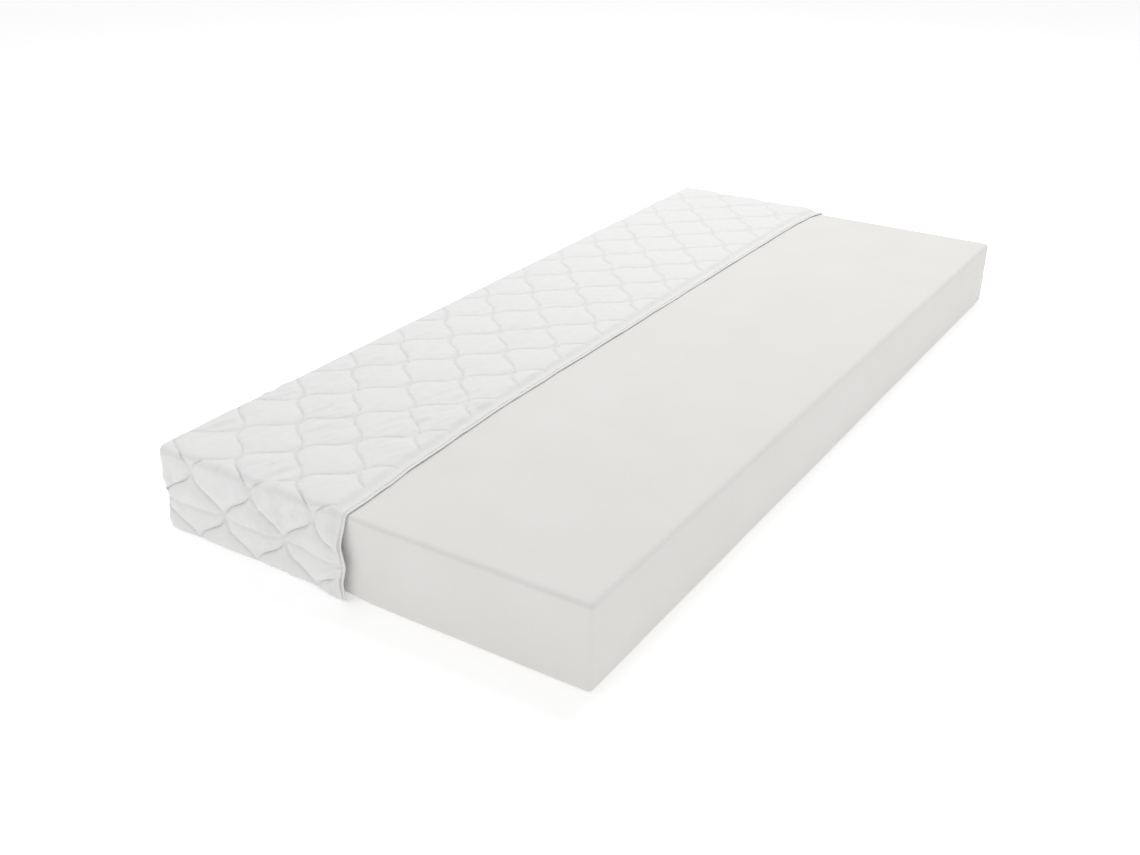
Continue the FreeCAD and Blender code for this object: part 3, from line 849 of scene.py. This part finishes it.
# %% Helpers for thread
THREAD_SIDES = 6
PATH_STEP = 1.5 * MM


def even_path(points, spacing):
    """The same path with its points at an even spacing."""
    lengths = np.linalg.norm(np.diff(points, axis=0), axis=1)
    distance = np.concatenate([[0], np.cumsum(lengths)])
    count = max(3, int(round(distance[-1] / spacing)) + 1)
    wanted = np.linspace(0, distance[-1], count)
    return np.stack([np.interp(wanted, distance, points[:, axis]) for axis in range(3)], axis=1)


def tube_parts(path, outward, across_radius, out_radius, sides):
    """Points and faces of a closed tube. Radii are arrays of one row for each path point."""
    tangent = np.gradient(path, axis=0)
    tangent /= np.maximum(np.linalg.norm(tangent, axis=1, keepdims=True), 1e-12)
    outward = outward - tangent * (outward * tangent).sum(axis=1, keepdims=True)
    outward /= np.maximum(np.linalg.norm(outward, axis=1, keepdims=True), 1e-12)
    sideways = np.cross(tangent, outward)
    angles = np.linspace(0, 2 * np.pi, sides, endpoint=False)
    points = (
        path[:, None, :]
        + sideways[:, None, :] * (across_radius * np.cos(angles))[:, :, None]
        + outward[:, None, :] * (out_radius * np.sin(angles))[:, :, None]
    )
    count = len(path)
    numbers = np.arange(count * sides).reshape(count, sides)
    following = np.roll(numbers, -1, axis=1)
    faces = np.stack(
        [part.ravel() for part in (numbers[:-1], following[:-1], following[1:], numbers[1:])],
        axis=1,
    ).tolist()
    faces += [numbers[0][::-1].tolist(), numbers[-1].tolist()]
    return points.reshape(-1, 3), faces


def joined_object(name, parts):
    """One object from several sets of points and faces."""
    points, faces, count = [], [], 0
    for part_points, part_faces in parts:
        points.append(part_points)
        faces += [[corner + count for corner in face] for face in part_faces]
        count += len(part_points)
    return new_mesh_object(name, np.concatenate(points), faces)


def stitch_row(path, outward, thread_radius):
    """A row of stitches along a path that lies on the cloth, with two points to a stitch."""
    rings = np.arange(len(path))
    full = (rings % 2 == 1)[:, None]
    radius = np.where(full, thread_radius, 0.35 * thread_radius)
    lift = np.where(full, 0.25 * thread_radius, -0.9 * thread_radius)
    return tube_parts(path + outward * lift, outward, radius, radius, THREAD_SIDES)


def outward_normals(surface, across, along):
    """The cloth's direction outwards, from small steps on its surface."""
    step = 0.4 * MM
    by_across = surface(across + step, along) - surface(across - step, along)
    by_along = surface(across, along + step) - surface(across, along - step)
    normal = np.cross(by_across, by_along)
    return normal / np.maximum(np.linalg.norm(normal, axis=1, keepdims=True), 1e-12)


def stitched_path(surface, across, along, stitch, thread_radius):
    """A stitch row along flat places on a cloth surface."""
    flat = np.stack([across, along, np.zeros_like(along)], axis=1)
    flat = even_path(flat, stitch / 2)
    points = surface(flat[:, 0], flat[:, 1])
    normals = outward_normals(surface, flat[:, 0], flat[:, 1])
    return stitch_row(points, normals, thread_radius)


# %% [markdown]
# The quilting machine sews every wavy line in one pass, through face, wadding and lining. The rows
# here follow the same formula as the grooves, so each thread lies at the bottom of its groove. A
# line that swings past the edge of a panel is cut into separate runs.

# %% The quilting threads
QUILT_STITCH = 5 * MM
QUILT_THREAD = 0.42 * MM
SHORTEST_RUN = 7


def thread_runs(places, low, high):
    """Where a line is inside the quilted area, as separate runs of row numbers."""
    inside = np.nonzero((places > low) & (places < high))[0]
    if not len(inside):
        return []
    runs = np.split(inside, np.nonzero(np.diff(inside) > 1)[0] + 1)
    return [run for run in runs if len(run) >= SHORTEST_RUN]


def quilting_threads(name, surface, lines, half_length, low, high):
    along = np.arange(-half_length, half_length, PATH_STEP)
    parts = []
    for places in lines(along):
        for run in thread_runs(places, low, high):
            parts.append(
                stitched_path(surface, places[run], along[run], QUILT_STITCH, QUILT_THREAD)
            )
    return joined_object(name, parts)


wrap_threads = quilting_threads(
    "wrap_quilting_threads_visual",
    wrap_surface,
    wrap_lines,
    WRAP_HALF_LENGTH - 4 * MM,
    WRAP_LEFT + 4 * MM,
    HEM_X - 20 * MM,
)
side_threads = quilting_threads(
    "side_quilting_threads_visual",
    side_surface,
    side_lines,
    SIDE_HALF_LENGTH - 4 * MM,
    SIDE_FOOT + 3 * MM,
    SIDE_TOP - 3 * MM,
)

# %% [markdown]
# The hem is finished in two ways that show. A twin needle leaves two parallel rows of stitches,
# and an overlock machine binds the cut edge in a thick wrap of thread, whose loops lie aslant
# over the edge. The loops could be wound one by one as a helix. A flattened tube with a slanting
# bump for each loop looks the same from a step away and has far fewer points.

# %% The hem
HEM_STITCH = 3.6 * MM
HEM_THREAD = 0.5 * MM
LOOP_PITCH = 3.4 * MM
EDGE_HALF_WIDTH = 3.6 * MM
EDGE_HALF_HEIGHT = 1.7 * MM
LOOP_HEIGHT = 0.5 * MM
LOOP_STEPS = 4
EDGE_SIDES = 12


def hem_row(name, distance):
    """One row of stitches beside the hem, from foot to foot."""
    along = np.arange(-WRAP_HALF_LENGTH + 3 * MM, WRAP_HALF_LENGTH - 3 * MM, PATH_STEP)
    across = np.full_like(along, HEM_X - distance)
    return joined_object(
        name, [stitched_path(wrap_surface, across, along, HEM_STITCH, HEM_THREAD)]
    )


def hem_edge_tube(path, outward, half_width, half_height):
    """A bound edge along a path: a flattened tube with slanting loops of thread."""
    angles = np.linspace(0, 2 * np.pi, EDGE_SIDES, endpoint=False)
    loops = np.arange(len(path))[:, None] / LOOP_STEPS + angles[None, :] / (2 * np.pi)
    bump = np.abs(np.sin(np.pi * loops)) ** 0.7
    uneven = 1 + 0.07 * wobble(np.arange(len(path)) / 9.0, np.zeros(len(path)), 61)[:, None]
    across_radius = (half_width + LOOP_HEIGHT * (bump - 1)) * uneven
    out_radius = (half_height + LOOP_HEIGHT * (bump - 1)) * uneven
    return tube_parts(path, outward, across_radius, out_radius, EDGE_SIDES)


def make_hem_edge():
    """The bound edge over the top and both ends, and the one under the foam."""
    along = np.arange(-WRAP_HALF_LENGTH + 1 * MM, WRAP_HALF_LENGTH - 1 * MM, 2 * MM)
    across = np.full_like(along, HEM_X - EDGE_HALF_WIDTH)
    offset = EDGE_HALF_HEIGHT + CLEARANCE + hem_stand_off(across, along)
    offset += 0.5 * MM * wobble(along / (30 * MM), np.zeros_like(along), 62)
    path = even_path(wrap_place(across, along, offset), LOOP_PITCH / LOOP_STEPS)
    middle = np.array([path[:, 0].mean(), 0, CORE_TOP / 2])
    outward = path - middle
    outward[:, 0] = 0
    on_top = np.abs(path[:, 1]) < FOLD_START
    outward[on_top] = (0, 0, 1)
    wrapped = hem_edge_tube(path, outward, EDGE_HALF_WIDTH, EDGE_HALF_HEIGHT)
    half_height = (BASE_THICKNESS - CLEARANCE) / 2
    base_middle = (HEM_X - EDGE_HALF_WIDTH, BASE_THICKNESS - half_height)
    ends = np.array([[base_middle[0], side * CORE_END, base_middle[1]] for side in (-1, 1)])
    base_path = even_path(ends, LOOP_PITCH / LOOP_STEPS)
    down = np.tile([0.0, 0.0, -1.0], (len(base_path), 1))
    return joined_object(
        "hem_edge", [wrapped, hem_edge_tube(base_path, down, EDGE_HALF_WIDTH, half_height)]
    )


hem_row_outer = hem_row("hem_row_outer", OUTER_ROW)
hem_row_inner = hem_row("hem_row_inner", INNER_ROW)
hem_edge = make_hem_edge()

# %% [markdown]
# Where two panels are sewn together, a narrow overlocked allowance stays in the corner. It is a
# thin bound edge like the hem's, made by the same helper, and it takes its place from its node.

# %% The seams of the cover
SEAM_HALF = 1.1 * MM


def seam_tube(start, end, outward):
    path = even_path(np.array([start, end]), LOOP_PITCH / LOOP_STEPS)
    directions = np.tile(np.array(outward, float), (len(path), 1))
    return hem_edge_tube(path, directions, SEAM_HALF, SEAM_HALF)


def seam_ends(node):
    """The middle line of a straight seam node, from its box."""
    low, high = (np.array(corner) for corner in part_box(node))
    axis = int(np.argmax(high - low))
    middle = (low + high) / 2
    start, end = middle.copy(), middle.copy()
    start[axis], end[axis] = low[axis], high[axis]
    return start, end


side_seams = []
for node in ("side_top_seam", "side_base_seam"):
    start, end = seam_ends(node)
    side_seams.append(joined_object(f"{node}_edge", [seam_tube(start, end, (-1, 0, 0))]))

pair_seams = []
for node, axis in (("side_corner_seams", 2), ("base_end_seams", 0)):
    low, high = (np.array(corner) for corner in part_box(node))
    parts = []
    for side in (-1, 1):
        start = (low + high) / 2
        start[1] = side * (high[1] - SEAM_HALF)
        end = start.copy()
        start[axis], end[axis] = low[axis], high[axis]
        parts.append(seam_tube(start, end, (0, side, 0)))
    pair_seams.append(joined_object(f"{node}_edges", parts))

# %% [markdown]
# The materials are all near white, so they differ by their texture. Each texture is worked out by
# nodes at its real scale. Image textures could be used, but nodes stay sharp at any distance and
# need no files. A small class keeps the recipes short: each line adds one node or one sum.


# %% Helpers for materials
class Nodes:
    """A short way to add nodes to a material and to link them."""

    def __init__(self, name):
        self.material = bpy.data.materials.new(name)
        self.material.use_nodes = True
        self.tree = self.material.node_tree
        self.shader = self.tree.nodes["Principled BSDF"]

    def add(self, kind, inputs=None, **settings):
        node = self.tree.nodes.new(kind)
        for key, setting in settings.items():
            setattr(node, key, setting)
        for key, source in (inputs or {}).items():
            if hasattr(source, "is_output"):
                self.tree.links.new(source, node.inputs[key])
            else:
                node.inputs[key].default_value = source
        return node

    def maths(self, operation, first, second=0.0):
        node = self.add("ShaderNodeMath", {0: first, 1: second}, operation=operation)
        return node.outputs[0]

    def ramp(self, value, stops):
        """A colour ramp from (position, colour) stops."""
        node = self.add("ShaderNodeValToRGB", {"Fac": value})
        elements = node.color_ramp.elements
        while len(elements) < len(stops):
            elements.new(0.5)
        for element, (position, colour) in zip(elements, stops):
            element.position = position
            element.color = (*colour, 1)
        return node.outputs["Color"]

    def noise(self, vector, scale, detail=3.0):
        node = self.add(
            "ShaderNodeTexNoise", {"Vector": vector, "Scale": scale, "Detail": detail}
        )
        return node.outputs["Fac"]

    def bump(self, height, distance, strength=1.0, normal=None):
        inputs = {"Height": height, "Distance": distance, "Strength": strength}
        if normal is not None:
            inputs["Normal"] = normal
        return self.add("ShaderNodeBump", inputs).outputs["Normal"]

    def set_shader(self, **values):
        for key, source in values.items():
            socket = self.shader.inputs[key.replace("_", " ")]
            if hasattr(source, "is_output"):
                self.tree.links.new(source, socket)
            else:
                socket.default_value = source


def grey(level, warmth=0.0):
    """A near-white linear colour, with a little more red and less blue for warmth."""
    return (level * (1 + warmth), level, level * (1 - 1.6 * warmth))


# %% [markdown]
# The face of the quilt is a fine weft knit. Its loops stand in ribs (the wales) about a millimetre
# apart and in rows (the courses) across them. Two sine waves in the flat cloth coordinates give
# the loops, and noise adds fuzz and the slubs that make the white slightly uneven. The knit is
# only a bump, because its loops are far smaller than the mesh.

# %% The knitted cover fabric
WALE_SPACING = 1.1 * MM
COURSE_SPACING = 0.9 * MM


def make_knit():
    """White knit with very little gloss."""
    nodes = Nodes("quilted_knit")
    flat = nodes.add("ShaderNodeAttribute", attribute_name="cloth").outputs["Vector"]
    split = nodes.add("ShaderNodeSeparateXYZ", {0: flat})
    wale = nodes.maths("MULTIPLY", split.outputs["X"], 2 * math.pi / WALE_SPACING)
    course = nodes.maths("MULTIPLY", split.outputs["Y"], 2 * math.pi / COURSE_SPACING)
    lean = nodes.maths("MULTIPLY", nodes.maths("SINE", wale), 1.2)
    loops = nodes.maths("SINE", nodes.maths("ADD", course, lean))
    ribs = nodes.maths("ABSOLUTE", nodes.maths("SINE", nodes.maths("MULTIPLY", wale, 0.5)))
    knit = nodes.maths("ADD", nodes.maths("MULTIPLY", loops, 0.35), ribs)
    fuzz = nodes.noise(flat, 900)
    slubs = nodes.noise(flat, 60, 4)
    height = nodes.maths("ADD", knit, nodes.maths("MULTIPLY", fuzz, 0.6))
    tint = nodes.ramp(slubs, [(0.3, grey(0.805, 0.002)), (0.7, grey(0.83, 0.004))])
    normal = nodes.bump(height, 0.12 * MM, 0.7)
    rough = nodes.maths("ADD", nodes.maths("MULTIPLY", fuzz, 0.15), 0.72)
    nodes.set_shader(
        Base_Color=tint, Roughness=rough, Normal=normal, Sheen_Weight=0.02, Sheen_Roughness=0.5,
        Specular_IOR_Level=0.1,
    )
    return nodes.material


# %% [markdown]
# Mattress foam is an open sponge with cells under a millimetre, cut through by the blade. It is
# dull, a touch warmer and darker than the cover, and a little patchy. Two sizes of Voronoi cells
# give the pits, and two noises give the patches and the grain of the colour.


# %% The foam's surface
def make_foam():
    """Off-white foam with open cells."""
    nodes = Nodes("open_cell_foam")
    place = nodes.add("ShaderNodeTexCoord").outputs["Object"]
    cells = nodes.add(
        "ShaderNodeTexVoronoi", {"Vector": place, "Scale": 620.0}, feature="F1"
    ).outputs["Distance"]
    large_cells = nodes.add(
        "ShaderNodeTexVoronoi", {"Vector": place, "Scale": 260.0}, feature="F1"
    ).outputs["Distance"]
    patches = nodes.noise(place, 7, 5)
    grain = nodes.noise(place, 350, 3)
    pits = nodes.maths("ADD", cells, nodes.maths("MULTIPLY", large_cells, 0.5))
    mixed = nodes.maths("ADD", nodes.maths("MULTIPLY", patches, 0.7),
                        nodes.maths("MULTIPLY", grain, 0.3))
    tint = nodes.ramp(mixed, [(0.32, grey(0.745, 0.018)), (0.68, grey(0.77, 0.013))])
    normal = nodes.bump(pits, 0.25 * MM, 0.55)
    rough = nodes.maths("ADD", nodes.maths("MULTIPLY", cells, 0.1), 0.86)
    nodes.set_shader(
        Base_Color=tint, Roughness=rough, Normal=normal, Sheen_Weight=0.15,
        Specular_IOR_Level=0.2,
    )
    return nodes.material


# %% [markdown]
# Sewing thread is smoother than the knit and has a slight shine, with fine strands in it. The
# lining is a thin scrim of matted fibres, duller and a little greyer than the face. It shows only
# when the cover is off the foam. Both are a noise in the colour and in the bump.


# %% The thread and the lining
def make_thread():
    """White thread with a slight shine."""
    nodes = Nodes("white_thread")
    place = nodes.add("ShaderNodeTexCoord").outputs["Object"]
    strands = nodes.noise(place, 1400, 2)
    tint = nodes.ramp(strands, [(0.3, grey(0.74)), (0.7, grey(0.84))])
    nodes.set_shader(
        Base_Color=tint, Roughness=nodes.maths("ADD", nodes.maths("MULTIPLY", strands, 0.2), 0.42),
        Normal=nodes.bump(strands, 0.1 * MM, 0.6), Sheen_Weight=0.2,
    )
    return nodes.material


def make_lining():
    """A dull, fibrous inside."""
    nodes = Nodes("scrim_lining")
    flat = nodes.add("ShaderNodeAttribute", attribute_name="cloth").outputs["Vector"]
    fibres = nodes.noise(flat, 420, 6)
    dots = nodes.add(
        "ShaderNodeTexVoronoi", {"Vector": flat, "Scale": 400.0}, feature="F1"
    ).outputs["Distance"]
    tint = nodes.ramp(fibres, [(0.3, grey(0.68, 0.006)), (0.7, grey(0.77, 0.004))])
    nodes.set_shader(
        Base_Color=tint, Roughness=nodes.maths("ADD", nodes.maths("MULTIPLY", fibres, 0.1), 0.8),
        Normal=nodes.bump(nodes.maths("ADD", dots, fibres), 0.15 * MM, 0.6),
    )
    return nodes.material


knit_material = make_knit()
foam_material = make_foam()
thread_material = make_thread()
lining_material = make_lining()

for panel in (wrap_panel, side_panel, base_panel):
    panel.data.materials.append(knit_material)
    panel.data.materials.append(lining_material)
foam_block.data.materials.append(foam_material)
thread_pieces = [wrap_threads, side_threads, hem_row_outer, hem_row_inner, hem_edge]
thread_pieces += side_seams + pair_seams
for piece in thread_pieces:
    piece.data.materials.append(thread_material)
print("materials on", 4 + len(thread_pieces), "pieces")

# %% [markdown]
# Every piece rides on a body of the model, so that it moves with it, and stands for the plain
# solids that it shows in detail. The table also gives the quilt panels and the foam how full their
# padding is, and keeps all of that in one place, where it is easy to compare.

# %% Riding on the bodies
for piece, body, nodes_replaced, slot, fill in (
    (foam_block, "core", ("foam_core",), "foam", 1.0),
    (wrap_panel, "cover", ("wrap_face_fabric", "top_wadding", "near_end_wadding",
                           "far_end_wadding", "wrap_backing"), "cover_fabric", 0.6),
    (side_panel, "cover", ("side_face_fabric", "side_wadding", "side_backing"),
     "cover_fabric", 0.6),
    (base_panel, "cover", ("base_face_fabric", "base_wadding", "base_backing"),
     "cover_fabric", 0.3),
    (wrap_threads, "cover", ("wrap_quilting_threads",), "thread", None),
    (side_threads, "cover", ("side_quilting_threads",), "thread", None),
    (hem_row_outer, "cover", ("hem_stitch_row_outer",), "thread", None),
    (hem_row_inner, "cover", ("hem_stitch_row_inner",), "thread", None),
    (hem_edge, "cover", ("hem_overlock_edge",), "thread", None),
    (side_seams[0], "cover", ("side_top_seam",), "thread", None),
    (side_seams[1], "cover", ("side_base_seam",), "thread", None),
    (pair_seams[0], "cover", ("side_corner_seams",), "thread", None),
    (pair_seams[1], "cover", ("base_end_seams",), "thread", None),
):
    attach(piece, body)
    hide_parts(*nodes_replaced)

# %% [markdown]
# The studio is a wide pale floor under soft light from all round. A large soft lamp hangs behind
# and above, and a weak one stands low at the near left. Three strong lamps would be usual, but
# nearly even light suits a white object: only the grooves and the faces that turn away are a
# little darker. The floor glows faintly, so that it stays white far from the lamps too.

# %% The floor
FLOOR_HALF = 30
floor_corners = [(FLOOR_HALF * x, FLOOR_HALF * y, 0) for x, y in ((-1, -1), (1, -1), (1, 1), (-1, 1))]
floor = new_mesh_object("floor", floor_corners, [(0, 1, 2, 3)], smooth=False)
floor.location.z = -0.5 * MM
floor_nodes = Nodes("pale_floor")
floor_nodes.set_shader(Base_Color=(0.9, 0.9, 0.9, 1), Roughness=0.9, Specular_IOR_Level=0.1,
                       Emission_Color=(1, 1, 1, 1), Emission_Strength=0.32)
floor.data.materials.append(floor_nodes.material)

# %% [markdown]
# The light from all round is the world's own colour. Each lamp is a disc turned towards a place on
# the mattress, and the larger the disc is, the softer its shadow.

# %% The lights
world = bpy.data.worlds.new("studio")
bpy.context.scene.world = world
world.use_nodes = True
world.node_tree.nodes["Background"].inputs["Color"].default_value = (1, 1, 1, 1)
world.node_tree.nodes["Background"].inputs["Strength"].default_value = 0.69


def add_soft_lamp(name, place, target, size, power):
    """A round area lamp that faces its target."""
    lamp = bpy.data.objects.new(name, bpy.data.lights.new(name, "AREA"))
    lamp.data.shape = "DISK"
    lamp.data.size = size
    lamp.data.energy = power
    lamp.location = place
    direction = np.array(target) - np.array(place)
    flat_length = math.hypot(direction[0], direction[1])
    tilt = math.atan2(flat_length, -direction[2])
    heading = math.atan2(direction[1], direction[0]) - math.pi / 2
    lamp.rotation_euler = (tilt, 0, heading)
    bpy.context.collection.objects.link(lamp)
    print(name, power, "W, disc", size, "m wide")


add_soft_lamp("back_lamp", (-0.4, 1.5, 3.8), (0, 0.2, 0.1), 2.0, 62)
add_soft_lamp("front_lamp", (-1.5, -2.6, 1.7), (-0.1, -0.6, 0.1), 1.6, 6)
bpy.context.scene.view_settings.view_transform = "Standard"
